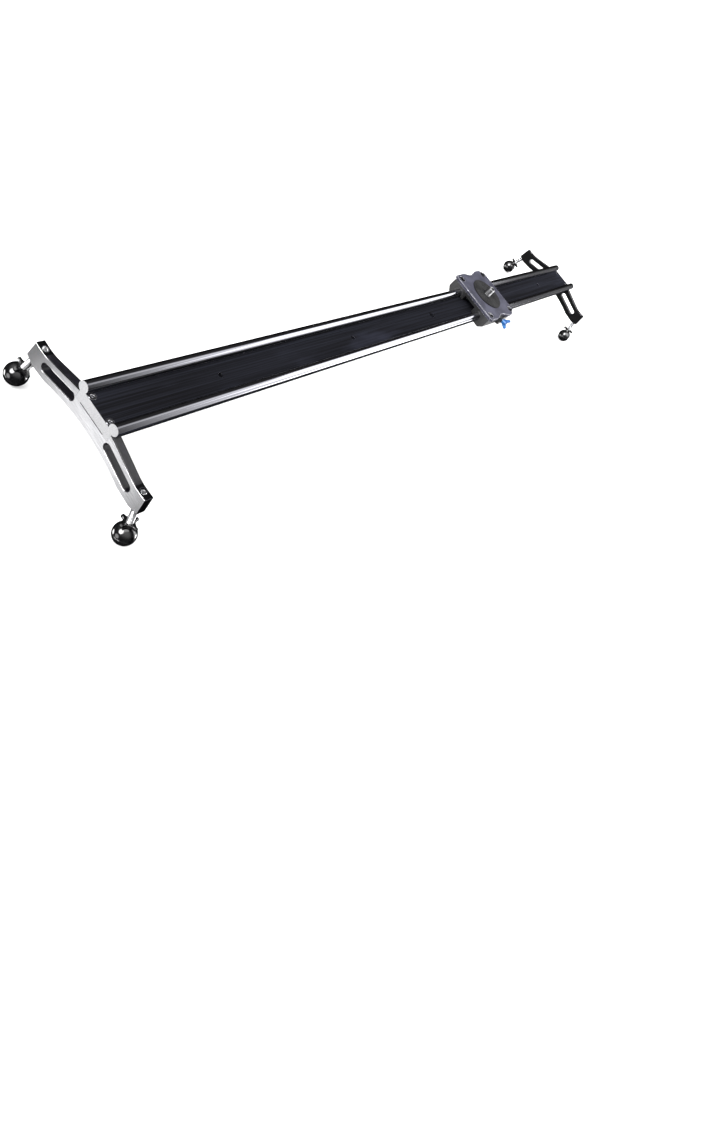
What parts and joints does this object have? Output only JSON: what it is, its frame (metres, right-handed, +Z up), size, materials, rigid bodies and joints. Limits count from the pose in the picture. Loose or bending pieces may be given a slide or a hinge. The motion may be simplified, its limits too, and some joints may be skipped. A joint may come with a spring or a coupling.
{
  "type": "camera slider",
  "caption": "Double-shaft camera slider: flat rail on two splayed end brackets with screw-adjusted ball feet, and a sliding carriage with a side brake and a head stud.",
  "frame": {"origin": "on the floor under the middle of the rail: the bounding box's bottom centre, with all four ball feet touching z = 0", "axes": "+X along the rail from its near end to its far end, +Y to the left across the rail, +Z up"},
  "size_m": [1.012, 0.175, 0.0959],
  "materials": {
    "rail_anodised": "satin black anodised, brushed lengthwise; bare bright metal at the cut ends",
    "bracket_anodised": "satin black anodised, with the outer face and its bevel machined bright",
    "screw_black": "black oxide",
    "stud_steel": "bright zinc plated",
    "ball_black": "polished",
    "grip_black": "polished",
    "casting_black": "satin dark grey, fine blasted",
    "plate_black": "satin black anodised with a bright bevel",
    "liner_grey": "matt bearing polymer",
    "pad_rubber": "fine ribbed",
    "brake_blue": "blue anodised, bright",
    "brake_plastic": "natural nylon"
  },
  "bodies": {
    "base": {"rail": "rail_anodised", "end_bracket_near": "bracket_anodised", "end_bracket_far": "bracket_anodised", "rail_screws_near": "screw_black", "rail_screws_far": "screw_black"},
    "carriage": {"carriage_body": "casting_black", "carriage_plate": "plate_black", "plate_screws": "screw_black", "bearing_liner_near_right": "liner_grey", "bearing_liner_near_left": "liner_grey", "bearing_liner_far_right": "liner_grey", "bearing_liner_far_left": "liner_grey", "head_stud": "stud_steel", "head_pad": "pad_rubber"},
    "brake_pad": {"brake_pad": "brake_plastic"},
    "brake_knob": {"brake_screw": "stud_steel", "brake_knob": "brake_blue"},
    "foot_ball_near_right": {"foot_ball_near_right": "ball_black"},
    "foot_screw_near_right": {"foot_stud_near_right": "stud_steel", "foot_grip_near_right": "grip_black"},
    "foot_ball_near_left": {"foot_ball_near_left": "ball_black"},
    "foot_screw_near_left": {"foot_stud_near_left": "stud_steel", "foot_grip_near_left": "grip_black"},
    "foot_ball_far_right": {"foot_ball_far_right": "ball_black"},
    "foot_screw_far_right": {"foot_stud_far_right": "stud_steel", "foot_grip_far_right": "grip_black"},
    "foot_ball_far_left": {"foot_ball_far_left": "ball_black"},
    "foot_screw_far_left": {"foot_stud_far_left": "stud_steel", "foot_grip_far_left": "grip_black"}
  },
  "joints": [
    {"name": "carriage_slide", "type": "slide", "parent": "base", "child": "carriage", "axis": [1, 0, 0], "range_m": [-0.6135, 0.2895]},
    {"name": "brake_travel", "type": "slide", "parent": "carriage", "child": "brake_pad", "axis": [0, 0.9781, -0.2079], "range_m": [0, 0.0005]},
    {"name": "brake_turn", "type": "hinge", "parent": "brake_pad", "child": "brake_knob", "pos_m": [0.1705, -0.02, 0.07068], "axis": [0, 0.9781, -0.2079], "range_deg": [0, 225]},
    {"name": "foot_lift_near_right", "type": "slide", "parent": "base", "child": "foot_ball_near_right", "axis": [0, 0.2317, 0.9728], "range_m": [-0.008, 0.008]},
    {"name": "foot_turn_near_right", "type": "hinge", "parent": "foot_ball_near_right", "child": "foot_screw_near_right", "pos_m": [-0.496, -0.07755, 0.01], "axis": [0, 0.2317, 0.9728], "range_deg": [-2880, 2880]},
    {"name": "foot_lift_near_left", "type": "slide", "parent": "base", "child": "foot_ball_near_left", "axis": [0, -0.2317, 0.9728], "range_m": [-0.008, 0.008]},
    {"name": "foot_turn_near_left", "type": "hinge", "parent": "foot_ball_near_left", "child": "foot_screw_near_left", "pos_m": [-0.496, 0.07755, 0.01], "axis": [0, -0.2317, 0.9728], "range_deg": [-2880, 2880]},
    {"name": "foot_lift_far_right", "type": "slide", "parent": "base", "child": "foot_ball_far_right", "axis": [0, 0.2317, 0.9728], "range_m": [-0.008, 0.008]},
    {"name": "foot_turn_far_right", "type": "hinge", "parent": "foot_ball_far_right", "child": "foot_screw_far_right", "pos_m": [0.496, -0.07755, 0.01], "axis": [0, 0.2317, 0.9728], "range_deg": [-2880, 2880]},
    {"name": "foot_lift_far_left", "type": "slide", "parent": "base", "child": "foot_ball_far_left", "axis": [0, -0.2317, 0.9728], "range_m": [-0.008, 0.008]},
    {"name": "foot_turn_far_left", "type": "hinge", "parent": "foot_ball_far_left", "child": "foot_screw_far_left", "pos_m": [0.496, 0.07755, 0.01], "axis": [0, -0.2317, 0.9728], "range_deg": [-2880, 2880]}
  ],
  "couplings": [
    {"joint": "brake_turn", "follows": "brake_travel", "rad_per_m": 7854},
    {"joint": "foot_turn_near_right", "follows": "foot_lift_near_right", "rad_per_m": 6283.2},
    {"joint": "foot_turn_near_left", "follows": "foot_lift_near_left", "rad_per_m": 6283.2},
    {"joint": "foot_turn_far_right", "follows": "foot_lift_far_right", "rad_per_m": 6283.2},
    {"joint": "foot_turn_far_left", "follows": "foot_lift_far_left", "rad_per_m": 6283.2}
  ]
}
